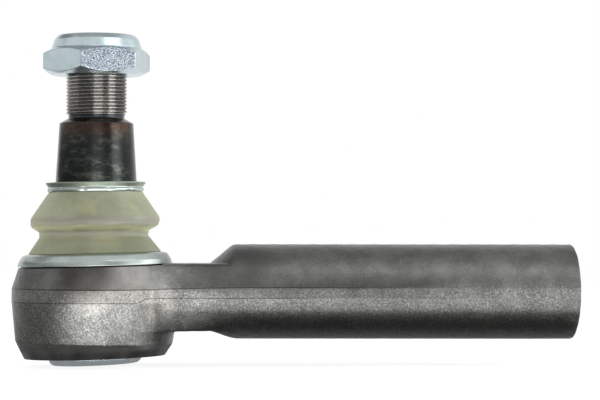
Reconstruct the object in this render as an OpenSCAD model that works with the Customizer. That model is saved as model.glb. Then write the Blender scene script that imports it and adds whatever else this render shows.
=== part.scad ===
// Truck tie rod end: forged housing, ball stud, dust boot and self locking nut.
// Lengths are in millimetres. X runs along the shank to its open end and Z runs up the stud.
// The origin lies on the shank's axis at the start of the rod thread, behind its countersunk mouth.

/* [Housing] */
// Distance from the ball's centre to the open end of the shank
shank_reach = 208; // [190:1:260]
// Outside diameter of the round shank
shank_d = 41.5; // [40:0.5:46]
// Diameter of the forged head at its parting band
head_d = 71.8; // [70:0.2:76]
// Height of the head's top face above the ball's centre
head_top = 12; // [11.5:0.25:13]
// Depth of the head's bottom face below the ball's centre
head_depth = 27.4; // [27:0.2:30]
// Height of the trimmed parting band's upper edge above the ball's centre
band_top = 0.9; // [0:0.1:2]
// Depth of the trimmed parting band's lower edge below the ball's centre
band_depth = 5.2; // [4:0.1:7]
// Loss of radius from the band up to the head's top edge
top_draft = 3; // [2.5:0.1:3.5]
// Loss of radius from the band down to the bottom chamfer
bottom_draft = 2.3; // [1:0.1:3]
// Width of the turned chamfer at the head's bottom edge
chamfer_w = 3.1; // [2:0.1:4]
// Height of the turned chamfer at the head's bottom edge
chamfer_h = 5; // [3:0.1:6]
// Height of the neck's flat top above the shank's axis
neck_top = 12.15; // [11:0.25:14]
// Depth of the neck's flat underside below the shank's axis
neck_depth = 17; // [14:0.5:19]
// Distance from the ball's centre to the start of the shoulder
shoulder_start = 49.1; // [46:0.1:52]
// Length of the shoulder that rises from the neck to the shank
shoulder_len = 10.4; // [8:0.1:13]
// Radius of the upright fillets between the head and the neck
neck_fillet = 25; // [20:0.5:30]

/* [Rod thread] */
// Nominal diameter of the internal thread for the tie rod
rod_thread_d = 30; // [27:1:32]
// Pitch of the internal thread for the tie rod
rod_thread_pitch = 1.5; // [1:0.5:2]
// Depth of the internal thread from the shank's open end
rod_thread_depth = 105; // [80:1:115]
// Height of the countersink at the mouth of the internal thread
mouth_chamfer = 1.5; // [1:0.1:2.5]

/* [Ball and socket] */
// Radius of the ball
ball_r = 19; // [18.5:0.1:19.5]
// Wall of the bearing shells at the ball's equator
shell_wall = 4; // [3.5:0.1:4.5]
// Radial clearance of running fits
fit_gap = 0.05; // [0.02:0.01:0.1]
// Height of the lip rolled over the cover
lip_h = 1.4; // [1:0.1:2]
// Thickness of the cover's flange
cover_t = 4; // [3.5:0.1:4.4]
// Radius of the cover's pressed out centre
cover_r = 19.6; // [18:0.1:20]
// Height by which the cover stands out below the head
cover_drop = 4.5; // [2:0.1:5]
// Cord diameter of the cover's sealing ring
seal_d = 2.2; // [1.8:0.1:2.6]
// Thickness of one disc spring
spring_t = 1.6; // [1.2:0.1:1.8]
// Free cone height of one disc spring
spring_cone = 0.6; // [0.4:0.1:0.8]
// Thickness of the pressure disc above the springs
disc_t = 2; // [1.5:0.1:2.4]

/* [Stud] */
// Radius of the neck between the ball and the taper
neck_r = 11.8; // [10.5:0.1:12.2]
// Diameter at the small end of the taper
taper_d = 31.6; // [31:0.1:32.2]
// Taper as length over change of diameter
taper_ratio = 8; // [7:0.5:10]
// Height of the taper's small end above the ball's centre
taper_top = 72; // [69:0.5:76]
// Nominal diameter of the stud's thread
stud_thread_d = 26; // [25:0.5:27]
// Pitch of the stud's thread
stud_thread_pitch = 1.5; // [1:0.5:2]
// Height of the stud's end above the ball's centre
stud_top = 109.3; // [106:0.1:112]

/* [Boot and rings] */
// Height of the upper ring's flange above the ball's centre
collar_top = 47; // [46:0.25:49]
// Depth of the upper ring from flange to skirt edge
collar_h = 4.3; // [3.8:0.1:5]
// Radius of the upper ring's flange
flange_r = 21.4; // [21:0.1:22]
// Length of the slide ring on the stud
slide_h = 7; // [6:0.1:8]
// Wall thickness of the boot
boot_t = 2.2; // [1.8:0.1:2.4]
// Largest radius of the boot's bulge
bulge_r = 27.6; // [27:0.1:29]
// Smallest radius of the boot's waist
waist_r = 23.3; // [22.8:0.1:24]
// Sheet thickness of the boot's steel rings
ring_t = 1; // [0.8:0.1:1.2]
// Height of the lower ring's cone above the head's top face
ring_rise = 4.2; // [3.8:0.1:4.6]

/* [Nut] */
// Width of the nut across its flats
nut_af = 41; // [40:0.5:44]
// Height of the nut's hexagon
nut_hex_h = 11.2; // [10.5:0.1:13]
// Height of the whole nut
nut_h = 17.2; // [17:0.1:19]
// Radius of the nut's locking collar where it leaves the hexagon
nut_collar_r = 19.1; // [18.6:0.1:19.6]
// Height of the nut's bearing face above the ball's centre
nut_seat = 92.7; // [91:0.1:94]
// Turn of the nut about the stud
nut_turn = 12; // [0:1:59]
// Height of the locking insert
insert_h = 3.2; // [2.8:0.1:3.4]

/* [Hidden] */
$fn = 96;

// Overlap that joins solids of one piece
bond = 0.5;
// Gap between pieces of one body that rest on each other
rest_gap = 0.05;
// Open gap between neighbouring pieces that do not touch
air_gap = 0.4;
// Thread depth for each unit of pitch, inside a nut and on a bolt
nut_thread_depth = 0.5413;
bolt_thread_depth = 0.6134;

head_r = head_d / 2;
shank_r = shank_d / 2;
shoulder_end = shoulder_start + shoulder_len;
rod_bore_r = rod_thread_d / 2 - nut_thread_depth * rod_thread_pitch;
drill_slope = 0.6;
drill_point = drill_slope * rod_bore_r;

// Bar that bends from the neck into the head, kept just under the neck's own surface
fillet_inset = 0.4;
fillet_path = shank_r + neck_fillet;
fillet_reach = head_r - bottom_draft / 2 + neck_fillet;
fillet_x = sqrt(fillet_reach * fillet_reach - fillet_path * fillet_path);
fillet_turn = acos(fillet_path / fillet_reach);

// Head's top edge, with the ledge and spigot that carry the boot's lower ring
ledge_h = 1.5;
ring_overhang = 0.1;
ledge_z = head_top - ledge_h;
ledge_r = head_r - top_draft;
ring_r = ledge_r + ring_overhang;
spigot_r = ring_r - ring_t - air_gap;

// Bearing shells and the socket around them
shell_split = -1;
shell_gap = 0.6;
seat_start_share = 0.1;
seat_end_share = 0.42;
throat_lap = 1.4;
throat_h = 1.8;
mouth_flare = 2.6;
ball_seat_r = ball_r + fit_gap;
shell_r = ball_seat_r + shell_wall;
socket_r = shell_r + rest_gap;
seat_start = seat_start_share * ball_r;
seat_end = seat_end_share * ball_r;
throat_r = ball_r - throat_lap;
throat_end = seat_end + throat_h;
mouth_r = throat_r + mouth_flare;

// Cover, its seal and the spring stack, from the rolled lip upwards
lip_gap = 0.6;
recess_step = 2.9;
cover_round = 1.5;
dish_r = 15.5;
dish_draft = 1.5;
ball_room = 1.5;
lip_r = cover_r + lip_gap;
lip_z = lip_h - head_depth;
cover_end = -head_depth - cover_drop;
cover_base = lip_z + rest_gap;
cover_face = cover_base + cover_t;
dish_floor = cover_end + cover_t;
recess_r = socket_r + recess_step;
recess_end = cover_face + seal_d + 2 * rest_gap;
spring_inner = dish_r + dish_draft;
spring_outer = shell_r - air_gap;
spring_h = 2 * (spring_t + spring_cone) + rest_gap;
spring_base = cover_face + rest_gap;
disc_base = spring_base + spring_h + rest_gap;
shell_base = disc_base + disc_t + rest_gap;
disc_inner = sqrt(ball_r * ball_r - shell_base * shell_base) + ball_room;

// Stud, from the ball to the threaded end
land_margin = 1.5;
neck_cone_h = 9.5;
shoulder_chamfer = 2.1;
relief_h = 1.5;
land_end = collar_top - ring_t;
land_start = land_end - slide_h - land_margin;
land_r = taper_d / 2 + (taper_top - land_end) / (2 * taper_ratio);
neck_end = land_start - neck_cone_h;
stud_crest_r = stud_thread_d / 2;
stud_root_r = stud_crest_r - bolt_thread_depth * stud_thread_pitch;
relief_r = stud_root_r - rest_gap;
thread_start = taper_top + shoulder_chamfer + relief_h;
thread_turns = floor((stud_top - thread_start) / stud_thread_pitch - 0.5);

// Boot and its rings
slide_wall = 1.1;
boot_lip_wall = 1.1;
ring_cone_w = 4;
ring_lip_w = 1.4;
ring_bend_h = 0.2;
bend_share = 0.4;
bulge_share = 0.54;
waist_share = 0.3;
bulge_round = 2.5;
waist_round = 1.5;
flange_edge = 0.3;
slide_inner = land_r + fit_gap;
slide_outer = slide_inner + slide_wall;
boot_mouth_r = slide_outer + rest_gap;
skirt_inner = boot_mouth_r + boot_lip_wall;
skirt_outer = skirt_inner + ring_t;
skirt_end = collar_top - collar_h;
ring_foot = ledge_z + rest_gap;
ring_bend = head_top + ring_bend_h;
ring_peak = head_top + ring_rise;
ring_peak_r = ring_r - ring_cone_w;
ring_lip_r = ring_peak_r - ring_lip_w;
ring_inset = bend_share * ring_t;
boot_base_r = ring_lip_r - air_gap / 2;
boot_span = skirt_end - ring_peak;
bulge_z = ring_peak + bulge_share * boot_span;
waist_z = ring_peak + waist_share * boot_span;
bead_z = head_top + rest_gap;
bead_top = ring_peak - ring_t - rest_gap;
bead_r = ring_r - ring_t - air_gap - (bead_z - ring_bend + ring_inset);

// Nut and its insert
nut_face_inset = 1.2;
nut_collar_lean = 0.8;
nut_round = 3;
hex_slope = 0.577;
insert_wall = 3;
rim_t = 1.4;
rim_w = 1.2;
nut_corner_r = nut_af / sqrt(3);
nut_bore_r = stud_crest_r + fit_gap;
nut_face_r = nut_af / 2 - nut_face_inset;
nut_top_r = nut_collar_r + lip_gap;
turning_r = nut_corner_r + bond;
insert_r = stud_crest_r + insert_wall;
insert_base = nut_h - insert_h - rim_t;
rim_r = insert_r - rim_w;

// Points on an arc about a centre
function arc(centre, r, from, to, steps) =
    [for (k = [0:steps]) centre + r * [cos(from + (to - from) * k / steps), sin(from + (to - from) * k / steps)]];

// One side of the boot's wall, set inwards by a depth
function boot_side(depth) = concat(
    arc([bulge_r - bulge_round, bulge_z], bulge_round - depth, 33, -42, 6),
    arc([waist_r + waist_round, waist_z], waist_round + depth, 138, 214, 6));

// Places what is drawn about the ball's centre
module from_ball() {
    translate([mouth_chamfer - shank_reach, 0, 0]) children();
}

// Places what is drawn upwards along Z so that it runs along X
module along_x() {
    rotate([0, 90, 0]) children();
}

// Turned outside of the head
module head() {
    rotate_extrude() polygon([
        [0, -head_depth],
        [head_r - bottom_draft - chamfer_w, -head_depth],
        [head_r - bottom_draft, chamfer_h - head_depth],
        [head_r, -band_depth],
        [head_r, band_top],
        [ledge_r, ledge_z],
        [ledge_r, head_top],
        [0, head_top]]);
}

// Round bar that bends from the neck into one side of the head
module side_fillet() {
    translate([fillet_x, fillet_path, 0]) rotate([0, 0, -90 - fillet_turn])
        rotate_extrude(angle = fillet_turn) translate([fillet_path, 0]) circle(r = shank_r - fillet_inset);
}

// Flattened neck and its shoulder, cut from round bar by the side view
module neck() {
    intersection() {
        union() {
            along_x() cylinder(r = shank_r, h = shoulder_end + bond);
            side_fillet();
            mirror([0, 1, 0]) side_fillet();
        }
        rotate([90, 0, 0]) linear_extrude(height = 2 * head_d, center = true) polygon([
            [-head_r, -neck_depth],
            [shoulder_start, -neck_depth],
            [shoulder_end, -shank_r - bond],
            [shoulder_end + 2 * bond, -shank_r - bond],
            [shoulder_end + 2 * bond, shank_r + bond],
            [shoulder_end, shank_r],
            [shoulder_start, neck_top],
            [-head_r, neck_top]]);
    }
}

// Room inside the head for the ball, shells, springs and cover
module socket() {
    rotate_extrude() polygon([
        [0, -head_depth - bond],
        [lip_r, -head_depth - bond],
        [lip_r, lip_z],
        [recess_r, lip_z],
        [recess_r, recess_end],
        [socket_r, recess_end],
        [socket_r, seat_start],
        [ball_r, seat_end],
        [throat_r, seat_end],
        [throat_r, throat_end],
        [mouth_r, head_top],
        [mouth_r, head_top + bond],
        [0, head_top + bond]]);
}

// Room above the head's flat top and its ledge, where the boot and its lower ring stand
module ring_ledge() {
    rotate_extrude() polygon([
        [0, head_top],
        [spigot_r, head_top],
        [spigot_r, ledge_z],
        [ring_r + air_gap, ledge_z],
        [ring_r + air_gap, neck_top + head_top],
        [0, neck_top + head_top]]);
}

// Threaded bore at its minor diameter, with a drill point and a countersunk mouth
module rod_bore() {
    along_x() translate([0, 0, shank_reach]) rotate_extrude() polygon([
        [0, bond],
        [rod_bore_r + mouth_chamfer + bond, bond],
        [rod_bore_r, -mouth_chamfer],
        [rod_bore_r, -rod_thread_depth],
        [0, -rod_thread_depth - drill_point]]);
}

module housing() {
    color([0.36, 0.35, 0.34]) from_ball() difference() {
        union() {
            head();
            neck();
            along_x() translate([0, 0, shoulder_end]) cylinder(r = shank_r, h = shank_reach - shoulder_end);
        }
        socket();
        ring_ledge();
        rod_bore();
    }
}

module cover_plate() {
    color([0.74, 0.78, 0.8]) from_ball() rotate_extrude() polygon(concat(
        [[0, cover_end]],
        arc([cover_r - cover_round, cover_end + cover_round], cover_round, -90, 0, 6),
        [[cover_r, cover_base],
        [recess_r - rest_gap, cover_base],
        [recess_r - rest_gap, cover_face],
        [dish_r, cover_face],
        [dish_r - dish_draft, dish_floor],
        [0, dish_floor]]));
}

module cover_seal() {
    color([0.08, 0.08, 0.08]) from_ball() translate([0, 0, cover_face + rest_gap + seal_d / 2])
        rotate_extrude() translate([recess_r - rest_gap - seal_d / 2, 0]) circle(r = seal_d / 2);
}

// One disc spring, standing on its outer edge
module disc_spring() {
    rotate_extrude() polygon([
        [spring_outer, 0],
        [spring_outer, spring_t],
        [spring_inner, spring_t + spring_cone],
        [spring_inner, spring_cone]]);
}

module disc_springs() {
    color([0.45, 0.45, 0.47]) from_ball() translate([0, 0, spring_base]) {
        disc_spring();
        translate([0, 0, spring_h]) mirror([0, 0, 1]) disc_spring();
    }
}

module pressure_disc() {
    color([0.6, 0.6, 0.62]) from_ball() translate([0, 0, disc_base]) difference() {
        cylinder(r = spring_outer, h = disc_t);
        translate([0, 0, -bond]) cylinder(r = disc_inner, h = disc_t + 2 * bond);
    }
}

module lower_shell() {
    color([0.85, 0.83, 0.76]) from_ball() difference() {
        translate([0, 0, shell_base]) cylinder(r = shell_r, h = shell_split - shell_base);
        sphere(r = ball_seat_r);
    }
}

module upper_shell() {
    color([0.85, 0.83, 0.76]) from_ball() difference() {
        rotate_extrude() polygon([
            [0, shell_split + shell_gap],
            [shell_r, shell_split + shell_gap],
            [shell_r, seat_start - rest_gap],
            [ball_r - rest_gap, seat_end - rest_gap],
            [0, seat_end - rest_gap]]);
        sphere(r = ball_seat_r);
    }
}

module boot_lower_ring() {
    color([0.78, 0.82, 0.83]) from_ball() rotate_extrude() polygon([
        [ring_r - ring_t, ring_foot],
        [ring_r, ring_foot],
        [ring_r, ring_bend],
        [ring_peak_r, ring_peak],
        [ring_lip_r, ring_peak],
        [ring_lip_r, ring_peak - ring_t],
        [ring_peak_r - ring_inset, ring_peak - ring_t],
        [ring_r - ring_t, ring_bend - ring_inset]]);
}

module boot() {
    inner = boot_side(boot_t);
    foot_r = boot_base_r - boot_t;
    color([0.63, 0.63, 0.5]) from_ball() rotate_extrude() polygon(concat(
        [[boot_mouth_r, land_end - rest_gap],
        [skirt_inner - rest_gap, land_end - rest_gap],
        [skirt_inner - rest_gap, skirt_end - rest_gap],
        [skirt_outer - flange_edge, skirt_end - rest_gap]],
        boot_side(0),
        [[boot_base_r, ring_peak + air_gap],
        [boot_base_r, bead_top],
        [ring_peak_r - ring_inset - air_gap, bead_top],
        [bead_r, bead_z],
        [foot_r, bead_z],
        [foot_r, bead_top]],
        [for (k = [len(inner) - 1:-1:0]) inner[k]],
        [[boot_mouth_r, skirt_end - slide_wall]]));
}

module boot_upper_ring() {
    color([0.78, 0.82, 0.83]) from_ball() rotate_extrude() polygon([
        [land_r + air_gap, collar_top],
        [land_r + air_gap, land_end],
        [skirt_inner, land_end],
        [skirt_inner, skirt_end],
        [skirt_outer, skirt_end],
        [skirt_outer, skirt_end + collar_h / 2],
        [flange_r, collar_top - flange_edge],
        [flange_r - flange_edge, collar_top]]);
}

module slide_ring() {
    color([0.9, 0.89, 0.84]) from_ball() translate([0, 0, land_end - rest_gap - slide_h]) difference() {
        cylinder(r = slide_outer, h = slide_h);
        translate([0, 0, -bond]) cylinder(r = slide_inner, h = slide_h + 2 * bond);
    }
}

module ball_stud() {
    tooth = stud_thread_pitch / 8;
    color([0.3, 0.29, 0.29]) from_ball() union() {
        sphere(r = ball_r);
        rotate_extrude() polygon(concat(
            [[0, 0],
            [neck_r, 0],
            [neck_r, neck_end],
            [land_r, land_start],
            [land_r, land_end],
            [taper_d / 2, taper_top],
            [relief_r, taper_top + shoulder_chamfer],
            [relief_r, thread_start]],
            [for (k = [0:thread_turns - 1], p = [[0, 0], [1, 3.5], [1, 4.5], [0, 8]])
                [stud_root_r + p[0] * (stud_crest_r - stud_root_r),
                thread_start + k * stud_thread_pitch + p[1] * tooth]],
            [[stud_root_r, stud_top],
            [0, stud_top]]));
    }
}

module nut_insert() {
    color([0.2, 0.3, 0.5]) from_ball() translate([0, 0, nut_seat + insert_base]) difference() {
        cylinder(r = insert_r - fit_gap, h = insert_h);
        translate([0, 0, -bond]) cylinder(r = nut_bore_r, h = insert_h + 2 * bond);
    }
}

// Hexagon with turned corners
module nut_hexagon() {
    intersection() {
        rotate([0, 0, nut_turn]) linear_extrude(height = nut_hex_h)
            polygon([for (k = [0:5]) nut_corner_r * [cos(60 * k), sin(60 * k)]]);
        rotate_extrude() polygon([
            [0, 0],
            [nut_face_r, 0],
            [turning_r, hex_slope * (turning_r - nut_face_r)],
            [turning_r, nut_hex_h - hex_slope * (turning_r - nut_top_r)],
            [nut_top_r, nut_hex_h],
            [0, nut_hex_h]]);
    }
}

module lock_nut() {
    locking_h = nut_h - nut_hex_h + bond;
    color([0.78, 0.82, 0.83]) from_ball() translate([0, 0, nut_seat]) difference() {
        union() {
            nut_hexagon();
            translate([0, 0, nut_hex_h - bond]) rotate_extrude() polygon(concat(
                [[0, 0],
                [nut_collar_r, 0]],
                arc([nut_collar_r - nut_collar_lean - nut_round, locking_h - nut_round], nut_round, 0, 90, 6),
                [[0, locking_h]]));
        }
        translate([0, 0, -bond]) cylinder(r = nut_bore_r, h = nut_h + 2 * bond);
        translate([0, 0, insert_base - fit_gap]) cylinder(r = insert_r, h = insert_h + 2 * fit_gap);
        translate([0, 0, insert_base]) cylinder(r = rim_r, h = nut_h);
    }
}

housing();
cover_plate();
cover_seal();
disc_springs();
pressure_disc();
lower_shell();
upper_shell();
boot_lower_ring();
boot();
boot_upper_ring();
slide_ring();
ball_stud();
nut_insert();
lock_nut();
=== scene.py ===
import math

import bmesh
import bpy
import numpy as np
from mathutils import Matrix, Vector


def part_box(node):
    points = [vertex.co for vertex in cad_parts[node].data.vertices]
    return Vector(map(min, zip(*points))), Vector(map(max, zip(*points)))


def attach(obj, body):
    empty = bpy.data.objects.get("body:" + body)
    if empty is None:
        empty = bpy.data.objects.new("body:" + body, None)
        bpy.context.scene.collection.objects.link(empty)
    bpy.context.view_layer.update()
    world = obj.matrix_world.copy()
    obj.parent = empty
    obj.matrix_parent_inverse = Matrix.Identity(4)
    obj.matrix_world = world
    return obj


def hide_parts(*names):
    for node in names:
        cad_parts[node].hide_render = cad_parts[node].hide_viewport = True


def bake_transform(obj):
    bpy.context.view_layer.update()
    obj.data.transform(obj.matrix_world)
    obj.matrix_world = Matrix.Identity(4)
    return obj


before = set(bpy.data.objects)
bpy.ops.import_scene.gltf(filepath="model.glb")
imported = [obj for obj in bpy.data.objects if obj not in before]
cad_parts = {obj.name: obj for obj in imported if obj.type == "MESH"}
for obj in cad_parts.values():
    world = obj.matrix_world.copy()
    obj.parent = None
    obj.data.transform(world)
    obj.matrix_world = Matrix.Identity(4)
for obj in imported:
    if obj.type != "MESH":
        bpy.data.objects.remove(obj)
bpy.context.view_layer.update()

# Lengths below are in millimetres from the ball's centre, X along the shank and Z up the stud.
MM = 0.001
stud_low, stud_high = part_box("ball_stud")
BALL = Vector(((stud_low.x + stud_high.x) / 2, 0, 0))


def span(name):
    """Lowest and highest corner of a solid, in millimetres from the ball's centre."""
    return [(corner - BALL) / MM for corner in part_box(name)]


# Forged head, neck and shank
housing_low, housing_high = span("housing")
HEAD_R = -housing_low.x
SHANK_R = housing_high.z
SHANK_END = housing_high.x - 0.02
HEAD_FLOOR, CHAMFER_TOP, HEAD_TOP = -28.1, -22.6, 12.0
BAND_TOP, BAND_FOOT, NECK_BAND_TOP, NECK_BAND_FOOT = 1.2, -4.4, 2.0, -2.5
BAND_RISE, BAND_STEP = (20, 60), (16, 20)
HEAD_SIDE = ((HEAD_R - 5.4, HEAD_FLOOR), (HEAD_R - 2.3, CHAMFER_TOP), (HEAD_R, BAND_FOOT),
             (HEAD_R, BAND_TOP), (HEAD_R - 3.0, 10.5), (HEAD_R - 3.6, HEAD_TOP + 0.4))
NECK_TOP, NECK_FOOT = 12.15, -16.8
SHOULDER, TOP_SLOPE, FOOT_SLOPE = 49.1, 0.83, 0.36
FILLET_R, FILLET_GROWTH, FILLET_SET_BACK, FILLET_DRAFT = 25.0, 35.0, 0.5, 1.6
BAR_DRAFT, BAR_DRAFT_END, BAR_DRAFT_RUN = 0.3, 190, 130
DIE_SET_BACK, DIE_COS, DIE_SIN = 0.35, 0.97, 0.24
DIE_EASE, DIE_EASE_FROM, DIE_EASE_RUN = 0.5, 120, 40
SHOULDER_CROWN, SHOULDER_ROUND, TOP_ROUND, FOOT_ROUND = 45, 0.4, 1.2, 0.9
END_ROUND, HEAD_BLEND, SCALE_DEPTH, SCALE_HEIGHT = 0.6, 1.6, 0.06, 0.05
LEDGE_Z, SPIGOT_R, RING_ROOM_R = 10.7, 31.6, 33.35
BORE_R, BORE_DEPTH, BORE_MOUTH = 15.2, 105.0, 1.5
PAST_HEAD_X, BEFORE_BORE_X = 40, 80

# The turned underside leans, lower at the head's outer side. Its chamfer is wider there, and the draft
# over it is steeper at the neck.
FLOOR_LEAN, COVER_LEAN = math.radians(1.8), math.radians(2.5)
LEAN_X, LEAN_TOP, LEAN_RUN = -4, -20, 7.4
DRAFT_SHIFT, DRAFT_RUN, CHAMFER_CUT = 0.5, 16, 0.7

# Socket under the cover, as (radius, from height, radius, to height)
SOCKET_R = 26.0
SOCKET = ((20.2, -30.0, 20.2, -25.9), (SOCKET_R, -26.0, SOCKET_R, -19.65), (23.1, -19.8, 23.1, 1.9),
          (23.1, 1.9, 19.0, 7.98), (17.6, 7.5, 17.6, 10.0), (17.6, 9.78, 20.6, 12.4))
COVER_END = span("cover_plate")[0].z
COVER_R, FLANGE_R, FLANGE_FOOT, FLANGE_TOP, COVER_WALL = 19.8, 25.95, -25.95, -21.95, 4

# Ball stud and the threads
BALL_R, STUD_NECK_R, STUD_NECK_TOP = 19.0, 11.8, 28.0
LAND_R, LAND_FOOT, LAND_TOP = 17.425, 37.5, 46.0
TAPER_R, TAPER_TOP = 15.8, 72.0
RELIEF_R, RELIEF_Z = 12.0, 74.1
STUD_TOP = span("ball_stud")[1].z
PITCH, RIDGE_FOOT, RIDGE_CREST = 1.5, 1.45, 0.55
STUD_ROOT, STUD_CREST = 12.35, 13.0
ROD_CREST = 14.19

# Boot and its rings. They sit a little askew, lower and further out towards the head's outer side.
RING_Z, RING_LIP_Z, WAIST_Z, COLLAR_Z = 16.0, 16.3, 24.2, 44.0
RING_LEAN, COLLAR_LEAN = math.radians(1.6), math.radians(0.9)
RING_SHIFT = -0.4
BOOT_SHIFT = ((RING_Z, RING_SHIFT), (WAIST_Z, -0.9), (30.0, -0.35), (37.0, -0.3), (COLLAR_Z, -0.2))
CRIMPS, CRIMP_TURN = 12, math.radians(-76)
CRIMP_HALF, CRIMP_DEPTH = math.radians(3.2), 0.28
BEAD_R, BEAD_TOP, BEAD_RUN = 19.9, 45.0, 0.6
# Where the upper ring's flare takes the darker, greener zinc that paints the boot's reflection
BOOT_REFLECTION_R, BOOT_REFLECTION_Z = 20.2, 44.4

# Self-locking nut
NUT_SEAT, NUT_TOP = (corner.z for corner in span("lock_nut"))
NUT_H, NUT_HEX_H = NUT_TOP - NUT_SEAT, 11.2
NUT_FLAT, NUT_CORNER_ROUND = 20.5, 0.9
NUT_TURN, SAWN_FLAT = math.radians(12), 4

# Edges that turn by more degrees than this stay sharp.
CREASE = 35


def settle(points):
    """Tips and shifts the boot and its rings as they sit on the head."""
    share = np.clip((points[:, 2] - RING_Z) / (COLLAR_Z - RING_Z), 0, 1)
    slope = np.tan(RING_LEAN + (COLLAR_LEAN - RING_LEAN) * share)
    moved = points.copy()
    moved[:, 0] += np.interp(points[:, 2], *zip(*BOOT_SHIFT))
    moved[:, 2] += points[:, 0] * slope
    return moved


def levelled(x, z):
    """Heights on the head with the lean of its turned underside taken out."""
    return z - (x - LEAN_X) * math.tan(FLOOR_LEAN) * np.clip((LEAN_TOP - z) / LEAN_RUN, 0, 1)


# Mesh makers

def rounded(corners, steps=8):
    """A closed outline of (r, z, corner radius) with each corner turned into an arc."""
    outline = []
    for i, (r, z, radius) in enumerate(corners):
        here = np.array((r, z), float)
        if radius == 0:
            outline.append(here)
            continue
        back = np.array(corners[i - 1][:2]) - here
        ahead = np.array(corners[(i + 1) % len(corners)][:2]) - here
        room = 0.49 * min(np.linalg.norm(back), np.linalg.norm(ahead))
        back, ahead = back / np.linalg.norm(back), ahead / np.linalg.norm(ahead)
        half = math.acos(np.clip(back @ ahead, -1, 1)) / 2
        reach = min(radius / math.tan(half), room)
        middle = (back + ahead) / np.linalg.norm(back + ahead)
        centre = here + middle * reach / math.cos(half)
        first, last = here + back * reach - centre, here + ahead * reach - centre
        start = math.atan2(first[1], first[0])
        sweep = (math.atan2(last[1], last[0]) - start + math.pi) % math.tau - math.pi
        size = np.linalg.norm(first)
        for t in np.linspace(start, start + sweep, steps):
            outline.append(centre + size * np.array((math.cos(t), math.sin(t))))
    return np.array(outline)


def divided(side, step):
    """A row of points with more between them where they lie further apart than a step."""
    fine = []
    for a, b in zip(side, side[1:]):
        parts = max(1, int(np.hypot(*(b - a)) / step))
        fine += [a + (b - a) * k / parts for k in range(parts)]
    return np.array(fine + [side[-1]])


def spun(outline, sides=192, bend=None):
    """Turns a closed (r, z) outline about the stud. bend moves its (r, z) with the angle."""
    rows = len(outline)
    angle = np.tile(np.linspace(0, math.tau, sides, endpoint=False), (rows, 1))
    r, z = (np.repeat(outline[:, k, None], sides, 1) for k in (0, 1))
    if bend:
        r, z = bend(r, z, angle)
    points = np.stack((r * np.cos(angle), r * np.sin(angle), z), -1).reshape(-1, 3)
    row, side = (k.ravel() for k in np.meshgrid(np.arange(rows), np.arange(sides), indexing="ij"))
    up, on = (row + 1) % rows * sides, (side + 1) % sides
    return points, np.stack((row * sides + side, row * sides + on, up + on, up + side), -1)


def make(name, points, faces, finishes, choose=None, crease=CREASE):
    """A closed piece from points in millimetres. choose gives each face centre its finish."""
    mesh = bpy.data.meshes.new(name)
    mesh.from_pydata((points * MM + np.array(BALL)).tolist(), [], faces.tolist())
    shell = bmesh.new()
    shell.from_mesh(mesh)
    bmesh.ops.remove_doubles(shell, verts=shell.verts, dist=0.002 * MM)
    bmesh.ops.delete(shell, geom=[e for e in shell.edges if not e.link_faces], context="EDGES")
    bmesh.ops.recalc_face_normals(shell, faces=shell.faces)
    shell.to_mesh(mesh)
    shell.free()
    return finish(name, mesh, finishes, choose, crease)


def finish(name, mesh, finishes, choose=None, crease=CREASE):
    """Puts a mesh in the scene with its finishes, smooth except at its real edges."""
    mesh.materials.clear()
    for material in finishes:
        mesh.materials.append(material)
    if choose:
        middles = np.zeros(len(mesh.polygons) * 3)
        mesh.polygons.foreach_get("center", middles)
        middles = (middles.reshape(-1, 3) - np.array(BALL)) / MM
        mesh.polygons.foreach_set("material_index", choose(middles).astype(np.int32))
    mesh.shade_smooth()
    mesh.set_sharp_from_angle(angle=math.radians(crease))
    piece = bpy.data.objects.new(name, mesh)
    bpy.context.collection.objects.link(piece)
    return piece


def smooth_low(a, b, width):
    """The lower of two fields with the corner between them filled."""
    share = np.maximum(width - np.abs(a - b), 0) / width
    return np.minimum(a, b) - share * share * width / 4


def smooth_high(a, b, width):
    """The higher of two fields with the corner between them rounded."""
    return -smooth_low(-a, -b, width)


def inside(r, z, ends):
    """Depth under a cone or cylinder given as (radius, from height, radius, to height)."""
    r0, z0, r1, z1 = ends
    length = math.hypot(r1 - r0, z1 - z0)
    side = ((r - r0) * (z1 - z0) - (z - z0) * (r1 - r0)) / length
    return np.maximum(side, np.maximum(z0 - z, z - z1))


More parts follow.
